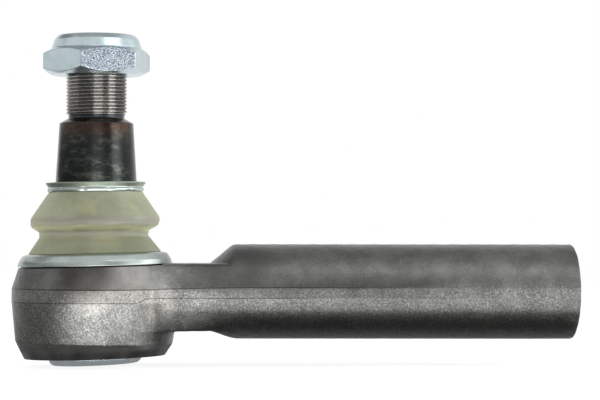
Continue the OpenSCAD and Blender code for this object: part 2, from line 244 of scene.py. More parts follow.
def forging(points):
    """Signed distance to the forged housing, below zero inside it."""
    x, y, z = points.T
    r = np.hypot(x, y)
    across = np.hypot(y, z)

    low = levelled(x, z)
    low_r = np.hypot(x + DRAFT_SHIFT * np.clip((BAND_FOOT - z) / DRAFT_RUN, 0, 1), y)
    head = np.maximum(HEAD_FLOOR - low, z - HEAD_TOP - 0.3)
    for (r0, z0), (r1, z1) in zip(HEAD_SIDE, HEAD_SIDE[1:]):
        cut = CHAMFER_CUT * np.clip(0.5 - x / HEAD_R / 2, 0, 1) * (z0 == HEAD_FLOOR)
        slant = (low_r + cut - r0) * (z1 - z0) - (low - z0) * (r1 - r0)
        head = np.maximum(head, slant / math.hypot(r1 - r0, z1 - z0))

    # The neck is the shank's bar, splayed into the head and flattened above and below. At each height the
    # fillet runs tangent into the head's side, and it grows towards the neck's underside.
    depth = np.clip(z / NECK_FOOT, 0, 1)
    fillet_r = FILLET_R + FILLET_GROWTH * depth ** 2
    head_r = HEAD_R - FILLET_DRAFT * depth
    bar_y = np.sqrt(SHANK_R ** 2 - (NECK_FOOT * depth) ** 2)
    fillet_x = np.sqrt((head_r + fillet_r) ** 2 - (bar_y + fillet_r) ** 2)
    turn = np.clip(fillet_x - FILLET_SET_BACK - x, 0, fillet_x * fillet_r / (head_r + fillet_r))
    splay = fillet_r - np.sqrt(fillet_r ** 2 - turn ** 2)
    # The bar is drafted, a little thinner at the neck than at its end.
    thinner = BAR_DRAFT * np.clip((BAR_DRAFT_END - x) / BAR_DRAFT_RUN, 0, 1)
    side = np.hypot(np.maximum(np.abs(y) - splay, 0), z) - SHANK_R + thinner
    side = side * np.sqrt(1 - (turn / fillet_r) ** 2)
    # Above the parting band the die leaves a drafted face that stands back from it.
    parting = np.interp(x, BAND_RISE, (BAND_TOP, NECK_BAND_TOP))
    drafted = (np.abs(y) - splay - SHANK_R + DIE_SET_BACK) * DIE_COS + (z - parting) * DIE_SIN
    drafted = drafted - DIE_EASE * np.clip((x - DIE_EASE_FROM) / DIE_EASE_RUN, 0, 1)
    side = np.where(z > parting - 0.3, np.maximum(side, drafted), side)
    reach = x - SHOULDER
    crown = y * y / SHOULDER_CROWN
    ramp = (z - NECK_TOP - TOP_SLOPE * reach + crown) / math.hypot(1, TOP_SLOPE)
    top = smooth_low(z - NECK_TOP, ramp, SHOULDER_ROUND)
    ramp = (NECK_FOOT - z - FOOT_SLOPE * reach) / math.hypot(1, FOOT_SLOPE)
    foot = smooth_low(NECK_FOOT - z, ramp, SHOULDER_ROUND)
    bar = smooth_high(smooth_high(side, top, TOP_ROUND), foot, FOOT_ROUND)
    bar = np.maximum(smooth_high(bar, x - SHANK_END, END_ROUND), -x)
    body = smooth_low(head, bar, HEAD_BLEND)
    body = np.maximum(body, HEAD_FLOOR - low)
    # Uneven scale left by the dies, kept under the outline.
    uneven = SCALE_HEIGHT * np.sin(0.71 * x + 0.5 * z) * np.sin(0.83 * y - 0.37 * z) * (z > CHAMFER_TOP)
    body = body + SCALE_DEPTH + uneven

    tipped = z - x * math.tan(RING_LEAN)
    ring_r = np.hypot(x - RING_SHIFT, y)
    room = np.maximum(ring_r - RING_ROOM_R, np.maximum(LEDGE_Z - tipped, SPIGOT_R - ring_r))
    room = np.minimum(room, np.maximum(ring_r - RING_ROOM_R, LEDGE_Z + 1 - tipped))
    for ends in SOCKET:
        room = np.minimum(room, inside(r, z, ends))
    deep = SHANK_END - BORE_DEPTH
    room = np.minimum(room, inside(across, x, (BORE_R, deep, BORE_R, SHANK_END + 3)))
    room = np.minimum(room, inside(across, x, (0.05, deep - 8.5, BORE_R - 0.8, deep + 0.1)))
    mouth = (BORE_R - 0.4, SHANK_END - BORE_MOUTH, BORE_R + 1.6, SHANK_END + 0.5)
    room = np.minimum(room, inside(across, x, mouth))
    return np.maximum(body, -room)


def contoured(field, *lines):
    """Quads on the zero of a field over a grid, one point in each cell that the surface crosses."""
    count = np.array([len(k) for k in lines])
    grid = np.stack(np.meshgrid(*lines, indexing="ij"), -1).reshape(-1, 3)
    value = field(grid).reshape(count)
    cells = count - 1
    hits, tilts, owners, quads = [], [], [], []
    for axis in range(3):
        near = [slice(None)] * 3
        far = [slice(None)] * 3
        near[axis], far[axis] = slice(None, -1), slice(1, None)
        a, b = value[tuple(near)], value[tuple(far)]
        crossed = np.argwhere((a < 0) != (b < 0))
        start = np.stack([lines[k][crossed[:, k]] for k in range(3)], -1)
        end = start.copy()
        end[:, axis] = lines[axis][crossed[:, axis] + 1]
        low, high = np.zeros(len(start)), np.ones(len(start))
        sign = a[tuple(crossed.T)] < 0
        for _ in range(9):
            middle = (low + high) / 2
            same = (field(start + (end - start) * middle[:, None]) < 0) == sign
            low, high = np.where(same, middle, low), np.where(same, high, middle)
        hit = start + (end - start) * ((low + high) / 2)[:, None]
        tilt = np.stack([field(hit + step) - field(hit - step) for step in np.eye(3) * 0.01], -1)
        tilt /= np.maximum(np.linalg.norm(tilt, axis=1), 1e-9)[:, None]
        u, v = (axis + 1) % 3, (axis + 2) % 3
        ring = []
        for du, dv in ((-1, -1), (0, -1), (0, 0), (-1, 0)):
            cell = crossed.copy()
            cell[:, u] += du
            cell[:, v] += dv
            ring.append(np.ravel_multi_index(cell.T, cells))
        ring = np.stack(ring, -1)
        quads.append(np.where(sign[:, None], ring, ring[:, ::-1]))
        for k in range(4):
            owners.append(ring[:, k])
            hits.append(hit)
            tilts.append(tilt)
    owners, hits, tilts, quads = (np.concatenate(k) for k in (owners, hits, tilts, quads))
    used, owner = np.unique(owners, return_inverse=True)
    share = np.bincount(owner)[:, None]
    middle = np.stack([np.bincount(owner, hits[:, k]) for k in range(3)], -1) / share
    off = ((hits - middle[owner]) * tilts).sum(1)
    pull = np.stack([np.bincount(owner, tilts[:, k] * off) for k in range(3)], -1)
    hold = np.stack([np.stack([np.bincount(owner, tilts[:, j] * tilts[:, k]) for k in range(3)], -1)
                     for j in range(3)], -2) + 0.06 * np.eye(3)
    points = middle + np.linalg.solve(hold, pull[:, :, None])[:, :, 0]
    corner = np.stack(np.unravel_index(used, cells), -1)
    low = np.stack([lines[k][corner[:, k]] for k in range(3)], -1)
    high = np.stack([lines[k][corner[:, k] + 1] for k in range(3)], -1)
    return np.clip(points, low, high), np.searchsorted(used, quads)


# Node trees

# The kinds of node that come up most
MATH, VECTOR, RANGE, NOISE = (
    "ShaderNodeMath", "ShaderNodeVectorMath", "ShaderNodeMapRange", "ShaderNodeTexNoise")


def node(tree, kind, inputs=None, out=0, **settings):
    """Adds a node and gives back one of its outputs. inputs are values or other nodes' outputs."""
    made = tree.nodes.new(kind)
    for key, value in settings.items():
        setattr(made, key, value)
    for key, value in (inputs or {}).items():
        if isinstance(value, bpy.types.NodeSocket):
            tree.links.new(value, made.inputs[key])
        else:
            made.inputs[key].default_value = value
    return made.outputs[out] if made.outputs else None


def tone(code):
    """Linear colour of an sRGB hex value."""
    parts = [int(code[k:k + 2], 16) / 255 for k in (1, 3, 5)]
    return tuple(c / 12.92 if c <= 0.04045 else ((c + 0.055) / 1.055) ** 2.4 for c in parts) + (1,)


def per(size):
    """Texture scale that draws a detail at a size in millimetres."""
    return 1 / (size * MM)


def thread_tree():
    """A helical ridge: a spiral swept by a trapezoid that faces out of a stud or into a bore."""
    tree = bpy.data.node_groups.new("helical_thread_ridge", "GeometryNodeTree")
    for label, kind in (("Radius", "Float"), ("Length", "Float"), ("Turns", "Float"),
                        ("Foot Width", "Float"), ("Crest Width", "Float"), ("Depth", "Float"),
                        ("Facing", "Vector"), ("Steps", "Int"), ("Finish", "Material")):
        tree.interface.new_socket(name=label, in_out="INPUT", socket_type="NodeSocket" + kind)
    tree.interface.new_socket(name="Geometry", in_out="OUTPUT", socket_type="NodeSocketGeometry")
    given = tree.nodes.new("NodeGroupInput").outputs
    spiral = node(tree, "GeometryNodeCurveSpiral", {
        "Resolution": given["Steps"], "Rotations": given["Turns"], "Start Radius": given["Radius"],
        "End Radius": given["Radius"], "Height": given["Length"], "Reverse": True})
    upright = node(tree, "GeometryNodeSetCurveNormal", {"Curve": spiral}, mode="Z_UP")
    section = node(tree, "GeometryNodeCurvePrimitiveQuadrilateral", {
        "Bottom Width": given["Foot Width"], "Top Width": given["Crest Width"], "Height": given["Depth"],
        "Offset": 0.0}, mode="TRAPEZOID")
    faced = node(tree, "GeometryNodeTransform", {"Geometry": section, "Rotation": given["Facing"]})
    swept = node(tree, "GeometryNodeCurveToMesh", {
        "Curve": upright, "Profile Curve": faced, "Fill Caps": True})
    real = node(tree, "GeometryNodeRealizeInstances", {"Geometry": swept})
    dressed = node(tree, "GeometryNodeSetMaterial", {"Geometry": real, "Material": given["Finish"]})
    node(tree, "NodeGroupOutput", {"Geometry": dressed})
    return tree


def ridged(name, tree, foot_r, crest_r, length, steel):
    """Runs the thread's tree and gives back its plain mesh, which stands on the origin along Z."""
    sizes = {"Radius": (foot_r + crest_r) / 2 * MM, "Length": length * MM, "Turns": length / PITCH,
             "Foot Width": RIDGE_FOOT * MM, "Crest Width": RIDGE_CREST * MM,
             "Depth": abs(crest_r - foot_r) * MM, "Steps": 72, "Finish": steel,
             "Facing": (0, 0, math.copysign(math.pi / 2, foot_r - crest_r))}
    holder = bpy.data.objects.new(name + "_maker", bpy.data.meshes.new(name + "_maker"))
    bpy.context.collection.objects.link(holder)
    maker = holder.modifiers.new("thread", "NODES")
    maker.node_group = tree
    for socket in tree.interface.items_tree:
        if socket.in_out == "INPUT":
            maker[socket.identifier] = sizes[socket.name]
    bpy.context.view_layer.update()
    ready = holder.evaluated_get(bpy.context.evaluated_depsgraph_get())
    mesh = bpy.data.meshes.new_from_object(ready)
    holder.modifiers.remove(maker)
    bpy.data.objects.remove(holder)
    shell = bmesh.new()
    shell.from_mesh(mesh)
    bmesh.ops.recalc_face_normals(shell, faces=shell.faces)
    shell.to_mesh(mesh)
    shell.free()
    return mesh


# Materials

def blank(name, metal=1.0):
    """A new material, its tree and shader, and its place in metres from the ball's centre."""
    made = bpy.data.materials.new(name)
    made.use_nodes = True
    tree = made.node_tree
    here = node(tree, "ShaderNodeTexCoord", out="Object")
    place = node(tree, "ShaderNodeMapping", {"Vector": here, "Location": -BALL})
    shader = tree.nodes["Principled BSDF"]
    shader.inputs["Metallic"].default_value = metal
    return made, tree, shader, place


def coat(tree, shader, base, layers):
    """Colours in layers of a pattern, the values where it starts and is full, a cover and a colour."""
    colour = tone(base)
    for pattern, start, full, cover, code in layers:
        share = node(tree, RANGE, {"Value": pattern, "From Min": start, "From Max": full, "To Max": cover},
                     interpolation_type="SMOOTHSTEP")
        colour = node(tree, "ShaderNodeMix", {0: share, 6: colour, 7: tone(code)}, 2, data_type="RGBA")
    tree.links.new(colour, shader.inputs["Base Color"])


def grain(tree, shader, pattern, smooth, rough, depth):
    """Lets a pattern drive the roughness, from smooth to rough, and a relief of a depth in millimetres."""
    sheen = node(tree, RANGE, {"Value": pattern, "From Min": 0.3, "From Max": 0.7,
                               "To Min": smooth, "To Max": rough})
    tree.links.new(sheen, shader.inputs["Roughness"])
    relief = node(tree, "ShaderNodeBump", {"Height": pattern, "Distance": depth * MM, "Strength": 0.5})
    tree.links.new(relief, shader.inputs["Normal"])


def forged_steel():
    # Drop-forged carbon steel, shot-blasted: dull grey scale whose peened grit glitters in the light, with
    # a colour speckle that is stronger below the parting line, partly grain and partly painted glints in
    # the lit band.
    # A dark heat stain and painted highlights on the head, scale on the neck that is partly painted shade,
    # painted shade by the neck, along the underside, on the parting band and above it, on the head's far
    # side and at the shank's end, and the two lines left where the flash was trimmed.
    made, tree, shader, place = blank("forged_steel_shot_blasted")
    # Grit of 0.5 mm is drawn at 0.75 mm so that it shows.
    grit = node(tree, NOISE, {"Vector": place, "Scale": per(0.75), "Detail": 4.0, "Roughness": 0.7})
    cloud = node(tree, NOISE, {"Vector": place, "Scale": per(9), "Detail": 5.0, "Roughness": 0.6})
    along, _, height = node(tree, "ShaderNodeSeparateXYZ", {0: place}).node.outputs
    # Patches, by the distance from their middles: a heat stain, scale on the neck that is partly painted
    # shade, three painted highlights on the head and a spot of painted shade by the neck
    stain, scale, painted_reflection, bright, painted_highlight_low_right, painted_shade_spot = (
        node(tree, VECTOR, {0: place, 1: Vector(spot) * MM}, 1, operation="DISTANCE")
        for spot in ((-6, -34, 8), (56, -20, 13), (13, -32, 5), (-3, -36, 0), (26, -26, -6), (18, -31, -1)))
    # What changes along the part: the height of the two parting lines, then what swells or fades
    top, foot, belt_in, belt_out, shade_in, shade_out, upper_out, lower_out = (
        node(tree, RANGE, {
            "Value": along, "From Min": x0 * MM, "From Max": x1 * MM, "To Min": low, "To Max": high})
        for (x0, x1), low, high in (
            (BAND_RISE, BAND_TOP * MM, NECK_BAND_TOP * MM),
            (BAND_STEP, BAND_FOOT * MM, NECK_BAND_FOOT * MM),
            ((62, 74), 0.0, 1.0), ((230, 90), 0.0, 1.0), ((20, 100), 0.0, 1.0), ((155, 142), 0.5, 1.0),
            ((150, 80), 0.0, 1.0), ((98, 80), 0.0, 1.0)))
    # Shadow gap under the lower ring
    gap = node(tree, MATH, {0: along, 1: -math.tan(RING_LEAN), 2: height}, operation="MULTIPLY_ADD")
    flat = node(tree, VECTOR, {0: place, 1: (1, 1, 0)}, operation="MULTIPLY")
    flat = node(tree, VECTOR, {0: flat}, 1, operation="LENGTH")
    flat = node(tree, MATH, {0: flat, 1: 33.1 * MM}, operation="LESS_THAN")
    gap = node(tree, MATH, {0: gap, 1: flat}, operation="MULTIPLY")
    # Grit speckle for the colour, weaker above the parting line: partly grain, partly painted glints in the
    # lit band below it
    over = node(tree, MATH, {0: height, 1: top}, operation="SUBTRACT")
    grit_and_glint_strength = node(tree, RANGE, {"Value": over, "From Min": -2.5 * MM, "From Max": 2.5 * MM,
                              "To Min": 1.0, "To Max": 0.45})
    fleck = node(tree, MATH, {0: grit, 1: 0.5}, operation="SUBTRACT")
    fleck = node(tree, MATH, {0: fleck, 1: grit_and_glint_strength, 2: 0.5}, operation="MULTIPLY_ADD")
    # Painted shade under the bar, in the fold below the neck, and low on the side of the shank
    depth = node(tree, MATH, {0: -6.5 * MM, 1: height}, operation="SUBTRACT")
    under = node(tree, MATH, {0: along, 1: 23 * MM}, operation="SUBTRACT")
    under = node(tree, MATH, {0: under, 1: depth}, operation="MINIMUM")
    fold = node(tree, MATH, {0: 52 * MM, 1: along}, operation="SUBTRACT")
    fold = node(tree, MATH, {0: under, 1: fold}, operation="MINIMUM")
    lee = node(tree, MATH, {0: depth, 1: 4.5 * MM}, operation="SUBTRACT")
    lee = node(tree, MATH, {0: along, 1: lee}, operation="MINIMUM")
    # Painted shade: a dark belt on the parting band and shade above it. Then the two trimmed lines
    belt = node(tree, MATH, {0: over, 1: -2.2 * MM, 2: 2.3 * MM}, operation="COMPARE")
    for change in (belt_in, belt_out):
        belt = node(tree, MATH, {0: belt, 1: change}, operation="MULTIPLY")
    shade = node(tree, RANGE, {"Value": over, "From Min": 8 * MM, "From Max": 0.4 * MM})
    above = node(tree, MATH, {0: over}, operation="SIGN")
    for change in (above, shade_in, shade_out):
        shade = node(tree, MATH, {0: shade, 1: change}, operation="MULTIPLY")
    upper = node(tree, MATH, {0: height, 1: top, 2: 0.25 * MM}, operation="COMPARE")
    upper = node(tree, MATH, {0: upper, 1: upper_out}, operation="MULTIPLY")
    lower = node(tree, MATH, {0: height, 1: foot, 2: 0.2 * MM}, operation="COMPARE")
    lower = node(tree, MATH, {0: lower, 1: lower_out}, operation="MULTIPLY")
    seam = node(tree, MATH, {0: upper, 1: lower}, operation="MAXIMUM")
    coat(tree, shader, "#646463", (
        # After the cloud: three painted highlights on the head, a spot of painted shade by the neck, then
        # grit speckle
        (cloud, 0.35, 0.66, 1.0, "#747472"), (painted_reflection, 14 * MM, 4 * MM, 0.3, "#b0aea8"),
        (bright, 12 * MM, 4 * MM, 0.32, "#c6c3bc"), (painted_highlight_low_right, 11 * MM, 4 * MM, 0.32, "#b8b5ae"),
        (painted_shade_spot, 6 * MM, 2 * MM, 0.3, "#454443"), (fleck, 0.50, 0.68, 0.62, "#acaaa4"),
        (fleck, 0.49, 0.34, 0.58, "#363534"),
        (shade, 0.0, 1.0, 0.6, "#353534"), (stain, 17 * MM, 6 * MM, 0.65, "#2d2824"),
        # Scale on the neck that is partly painted shade, then painted shade under the bar, in the fold and
        # low on the shank
        (scale, 26 * MM, 8 * MM, 0.55, "#434342"), (under, 0.0, 3 * MM, 0.48, "#2b2a29"),
        (fold, 2 * MM, 7 * MM, 0.2, "#2b2a29"), (lee, 0.0, 11 * MM, 0.32, "#2b2a29"),
        # Painted shade on the parting band, on the head's far side and at the shank's end
        (belt, 0.0, 1.0, 0.4, "#353534"), (along, -29 * MM, -36 * MM, 0.3, "#2b2a29"),
        (along, 192 * MM, 205 * MM, 0.2, "#2b2a29"),
        (gap, (LEDGE_Z - 0.3) * MM, LEDGE_Z * MM, 0.92, "#141312"), (seam, 0.0, 1.0, 0.6, "#211e1c")))
    grain(tree, shader, grit, 0.40, 0.30, 0.31)
    return made


def turned_steel(name, way):
    # Turned steel: darker than the forging, with the fine rings that the tool leaves round the axis.
    made, tree, shader, place = blank(name)
    # Feed marks of 0.2 mm are drawn at 0.7 mm so that they show.
    rings = node(tree, "ShaderNodeTexWave", {
        "Vector": place, "Scale": per(0.7) / 20, "Distortion": 0.6, "Detail": 2.0},
        "Fac", wave_type="RINGS", rings_direction=way)
    cloud = node(tree, NOISE, {"Vector": place, "Scale": per(7), "Detail": 3.0})
    coat(tree, shader, "#4f4f4f", ((cloud, 0.35, 0.7, 1.0, "#666664"), (rings, 0.0, 1.0, 0.35, "#868482")))
    grain(tree, shader, rings, 0.30, 0.40, 0.03)
    return made


def phosphated_steel():
    # Phosphated stud steel: a near-black skin, blotched greenish where it is thin, with painted shade on
    # the side towards the shank, browned by heat under the thread, and ground bright round the ball.
    made, tree, shader, place = blank("stud_steel_phosphated")
    flat = node(tree, VECTOR, {0: place, 1: (1, 1, 2.2)}, operation="MULTIPLY")
    smear = node(tree, NOISE, {"Vector": flat, "Scale": per(7), "Detail": 7.0, "Roughness": 0.75})
    spots = node(tree, NOISE, {"Vector": flat, "Scale": per(4), "Detail": 3.0})
    fine = node(tree, NOISE, {"Vector": place, "Scale": per(0.8), "Detail": 3.0})
    along, _, height = node(tree, "ShaderNodeSeparateXYZ", {0: place}).node.outputs
    warm = node(tree, MATH, {0: height, 1: (TAPER_TOP - 2) * MM}, operation="SUBTRACT")
    warm = node(tree, MATH, {0: warm}, operation="ABSOLUTE")
    rust = node(tree, RANGE, {"Value": warm, "From Min": 8 * MM, "From Max": 1 * MM})
    rust = node(tree, MATH, {0: rust, 1: spots}, operation="MULTIPLY")
    coat(tree, shader, "#313434", (
        # Blotches, then painted shade on the side towards the shank
        (smear, 0.46, 0.68, 0.8, "#62665e"), (along, 8 * MM, 12 * MM, 0.7, "#1a1b1b"),
        (warm, 8 * MM, 1 * MM, 0.4, "#41362e"),
        (rust, 0.3, 0.5, 0.3, "#56382c"), (height, RELIEF_Z * MM, (RELIEF_Z + 0.4) * MM, 0.8, "#3d434b"),
        (height, 26 * MM, 22 * MM, 1.0, "#8e8c89")))
    grain(tree, shader, fine, 0.2, 0.28, 0.015)
    return made


def bare_thread(name, across, root, crest, painted_side_shade):
    # Steel thread: bare on the crests, with dark oil and oxide left in the roots, and painted shade on the
    # side towards the shank.
    made, tree, shader, place = blank(name)
    flat = node(tree, VECTOR, {0: place, 1: across}, operation="MULTIPLY")
    radius = node(tree, VECTOR, {0: flat}, 1, operation="LENGTH")
    fine = node(tree, NOISE, {"Vector": place, "Scale": per(1.2), "Detail": 4.0})
    along = node(tree, "ShaderNodeSeparateXYZ", {0: place}, "X")
    coat(tree, shader, "#858380", (
        (fine, 0.35, 0.65, 1.0, "#979591"), (radius, crest * MM, root * MM, 0.4, "#4e4b47"),
        # Painted shade on the side towards the shank, as strong as the last argument
        (along, 5 * MM, 9 * MM, painted_side_shade, "#3b3936")))
    grain(tree, shader, fine, 0.15, 0.22, 0.01)
    return made


def zinc_plate(name, dark, light, coarse, dull):
    # Bright zinc plating with a clear passivate: pale blue-grey on the nut, palest on the cover, greyer on
    # thin sheet, with painted shade towards the shank, darker, greener and duller on the upper ring's flare
    # as a painted reflection of the boot, and sparkling over a sawn face.
    made, tree, shader, place = blank(name)
    cloud = node(tree, NOISE, {"Vector": place, "Scale": per(5), "Detail": 3.0})
    fine = node(tree, NOISE, {"Vector": place, "Scale": per(0.45), "Detail": 3.0, "Roughness": 0.7})
    along = node(tree, "ShaderNodeSeparateXYZ", {0: place}, "X")
    coat(tree, shader, dark, (
        (cloud, 0.3, 0.7, 1.0, light), (fine, 0.5, 0.66, 0.8 * coarse, "#cfd2dd"),
        # Dark flecks, then painted shade towards the shank
        (fine, 0.58, 0.42, 0.95 * coarse, "#5a5d70"), (along, 19 * MM, 31 * MM, 0.75, "#5d6664")))
    grain(tree, shader, fine, dull, dull + 0.06, 0.002 + 0.1 * coarse)
    return made


def boot_rubber():
    # Moulded polyurethane boot: pale khaki, matt and cloudy, with pinker grey bands on the bulge and at the
    # waist, the one at the waist lightened as painted light against its shade, a pale yellow band under the
    # bulge that is painted light where it lies in shade, painted shade low down, a darker olive band below
    # the waist, and darkened round the foot by dust off the shank.
    made, tree, shader, place = blank("boot_polyurethane_khaki", 0.0)
    cloud = node(tree, NOISE, {"Vector": place, "Scale": per(13), "Detail": 4.0})
    fine = node(tree, NOISE, {"Vector": place, "Scale": per(1.4), "Detail": 4.0, "Roughness": 0.7})
    along, _, height = node(tree, "ShaderNodeSeparateXYZ", {0: place}).node.outputs
    dust = node(tree, MATH, {0: 27 * MM, 1: height}, operation="SUBTRACT")
    dust = node(tree, MATH, {0: dust, 1: 4.0}, operation="MULTIPLY")
    dust = node(tree, MATH, {0: dust, 1: along}, operation="MINIMUM")
    wavy = node(tree, MATH, {0: cloud, 1: 3 * MM, 2: height}, operation="MULTIPLY_ADD")
    tint = node(tree, NOISE, {"Vector": place, "Scale": per(17), "Detail": 3.0})
    layers = [(cloud, 0.34, 0.64, 1.0, "#a0a48b"), (tint, 0.52, 0.66, 0.6, "#acad82"),
              (tint, 0.48, 0.36, 0.6, "#858c7a"), (fine, 0.35, 0.65, 0.25, "#888c76"),
              # Painted shade on the lower part
              (height, 25 * MM, 18 * MM, 0.5, "#777b62")]
    # Bands by height: pinker grey on the bulge, a thin light line on it, painted light under it, the waist
    # band lightened as painted light, and darker olive
    for middle, half, cover, code in ((30.6, 2.2, 0.6, "#88837c"), (29.2, 0.7, 0.3, "#aaa8a0"),
                                      (27.0, 1.6, 0.8, "#ccca9e"), (24.3, 1.4, 0.5, "#a79f95"),
                                      (22.0, 1.5, 0.4, "#857f5c")):
        off = node(tree, MATH, {0: wavy, 1: (middle + 1.5) * MM}, operation="SUBTRACT")
        off = node(tree, MATH, {0: off}, operation="ABSOLUTE")
        layers.append((off, half * MM, 0.0, cover, code))
    coat(tree, shader, "#8a8f76", layers + [(dust, -6 * MM, 22 * MM, 0.5, "#5c604c")])
    grain(tree, shader, fine, 0.5, 0.66, 0.05)
    shader.inputs["Sheen Weight"].default_value = 0.6
    shader.inputs["Sheen Tint"].default_value = tone("#d9d8bd")
    return made


def moulded(name, light, dark, rough, size):
    # Moulded plastic or rubber: one even colour with a faint cloud and a soft moulded grain.
    made, tree, shader, place = blank(name, 0.0)
    cloud = node(tree, NOISE, {"Vector": place, "Scale": per(size), "Detail": 4.0})
    coat(tree, shader, dark, ((cloud, 0.3, 0.7, 1.0, light),))
    grain(tree, shader, cloud, rough - 0.06, rough + 0.06, 0.02)
    return made


def oiled_steel():
    # Oiled spring steel: smooth blue-grey with straw-coloured tempering stains.
    made, tree, shader, place = blank("spring_steel_oiled")
    cloud = node(tree, NOISE, {"Vector": place, "Scale": per(6), "Detail": 3.0})
    coat(tree, shader, "#8a8f98", ((cloud, 0.35, 0.7, 1.0, "#97897a"),))
    grain(tree, shader, cloud, 0.22, 0.34, 0.01)
    return made


FORGED = forged_steel()
TURNED_HEAD = turned_steel("steel_turned_head", "Z")
TURNED_SHANK = turned_steel("steel_turned_shank", "X")
STUD_SKIN = phosphated_steel()
STUD_THREAD = bare_thread("stud_thread_rolled", (1, 1, 0), STUD_ROOT, STUD_CREST, 0.5)
ROD_THREAD = bare_thread("rod_thread_cut", (0, 1, 1), BORE_R, ROD_CREST, 0.0)
ZINC = zinc_plate("zinc_plate_satin", "#b3c1c6", "#bdcace", 0.0, 0.24)
ZINC_SAWN = zinc_plate("zinc_plate_over_sawn_face", "#b3c1c6", "#bdcace", 1.0, 0.38)
ZINC_SHEET = zinc_plate("zinc_plate_pressed_sheet", "#a5afac", "#aeb7b3", 0.0, 0.26)
# Darker, greener, duller zinc for the upper ring's flare: a painted reflection of the boot
ZINC_BOOT_REFLECTION = zinc_plate("zinc_plate_painted_boot_reflection", "#868e83", "#90988c", 0.0, 0.42)
ZINC_BRIGHT = zinc_plate("zinc_plate_bright", "#d2dde2", "#dfe8ec", 0.0, 0.24)
BOOT = boot_rubber()
SEAL_RUBBER = moulded("seal_rubber_black", "#262626", "#171717", 0.6, 2.0)
BEARING = moulded("bearing_shell_acetal", "#dedacb", "#cfcab8", 0.42, 3.0)
NYLON = moulded("insert_nylon_blue", "#46689c", "#34507d", 0.45, 3.0)
SPRING = oiled_steel()

for name, material in (("cover_seal", SEAL_RUBBER), ("disc_springs", SPRING), ("pressure_disc", SPRING),
                       ("lower_shell", BEARING), ("upper_shell", BEARING), ("slide_ring", BEARING),
                       ("nut_insert", NYLON)):
    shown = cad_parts[name].data
    shown.materials.clear()
    shown.materials.append(material)


# Pieces

def housing():
    """Forged head, neck and shank, with turned faces where the cover and the rod go in."""
    def runs(*stops):
        """Grid lines from stop to stop, each stop with the step that follows it."""
        parts = [np.arange(a, b, step) for (a, step), (b, _) in zip(stops, stops[1:])]
        return np.concatenate(parts + [np.array([stops[-1][0]])])

    points, quads = contoured(
        forging,
        runs((-37.03, 0.765), (66, 1.2), (72, 3.4), (200, 1.0), (206, 0.35), (209.2, 0)),
        runs((-37.01, 0.765), (37.05, 0)),
        runs((-29.43, 0.32), (-21.3, 0.72), (-6.3, 0.32), (2.6, 0.72), (22.1, 0)))

    def turned(middle):
        x, y, z = middle.T
        r, across = np.hypot(x, y), np.hypot(y, z)
        chamfer = (levelled(x, z) < CHAMFER_TOP + 0.05) & (r < HEAD_R - 1)
        socket = (r < SOCKET_R + 0.3) & (z < HEAD_TOP + 0.2)
        shank = (x > SHANK_END - 0.2) | (across < BORE_R + 1.7) & (x > BEFORE_BORE_X)
        return np.where(shank, 2, np.where((chamfer | socket) & (x < PAST_HEAD_X), 1, 0))

    piece = make("forged_housing", points, quads, (FORGED, TURNED_HEAD, TURNED_SHANK), turned, 32)
    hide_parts("housing")
    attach(piece, "housing")


def rod_thread(tree):
    """The ridge of the shank's internal thread, rooted in the wall of its bore."""
    mesh = ridged("rod_thread", tree, BORE_R + 0.1, ROD_CREST, BORE_DEPTH - 2 * BORE_MOUTH, ROD_THREAD)
    start = BALL + Vector((SHANK_END - BORE_DEPTH + PITCH, 0, 0)) * MM
    mesh.transform(Matrix.Translation(start) @ Matrix.Rotation(math.pi / 2, 4, "Y"))
    piece = finish("rod_thread_ridge", mesh, (ROD_THREAD,))
    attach(piece, "housing")


def cover():
    """Pressed cover under the ball, held by the lip rolled over its flange."""
    points, quads = spun(rounded((
        (0, COVER_END, 0), (COVER_R, COVER_END, 2.6), (COVER_R, FLANGE_FOOT, 0.4),
        (FLANGE_R, FLANGE_FOOT, 0.4), (FLANGE_R, FLANGE_TOP, 0.4), (15.5, FLANGE_TOP, 0.8),
        (14.0, COVER_END + COVER_WALL, 1.0), (0, COVER_END + COVER_WALL, 0))))
    out = np.clip((-26.5 - points[:, 2]) / 3, 0, 1)
    points[:, 2] += (points[:, 0] + COVER_R) * math.tan(COVER_LEAN) * out
    piece = make("closing_cover", points, quads, (ZINC_BRIGHT,))
    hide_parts("cover_plate")
    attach(piece, "housing")


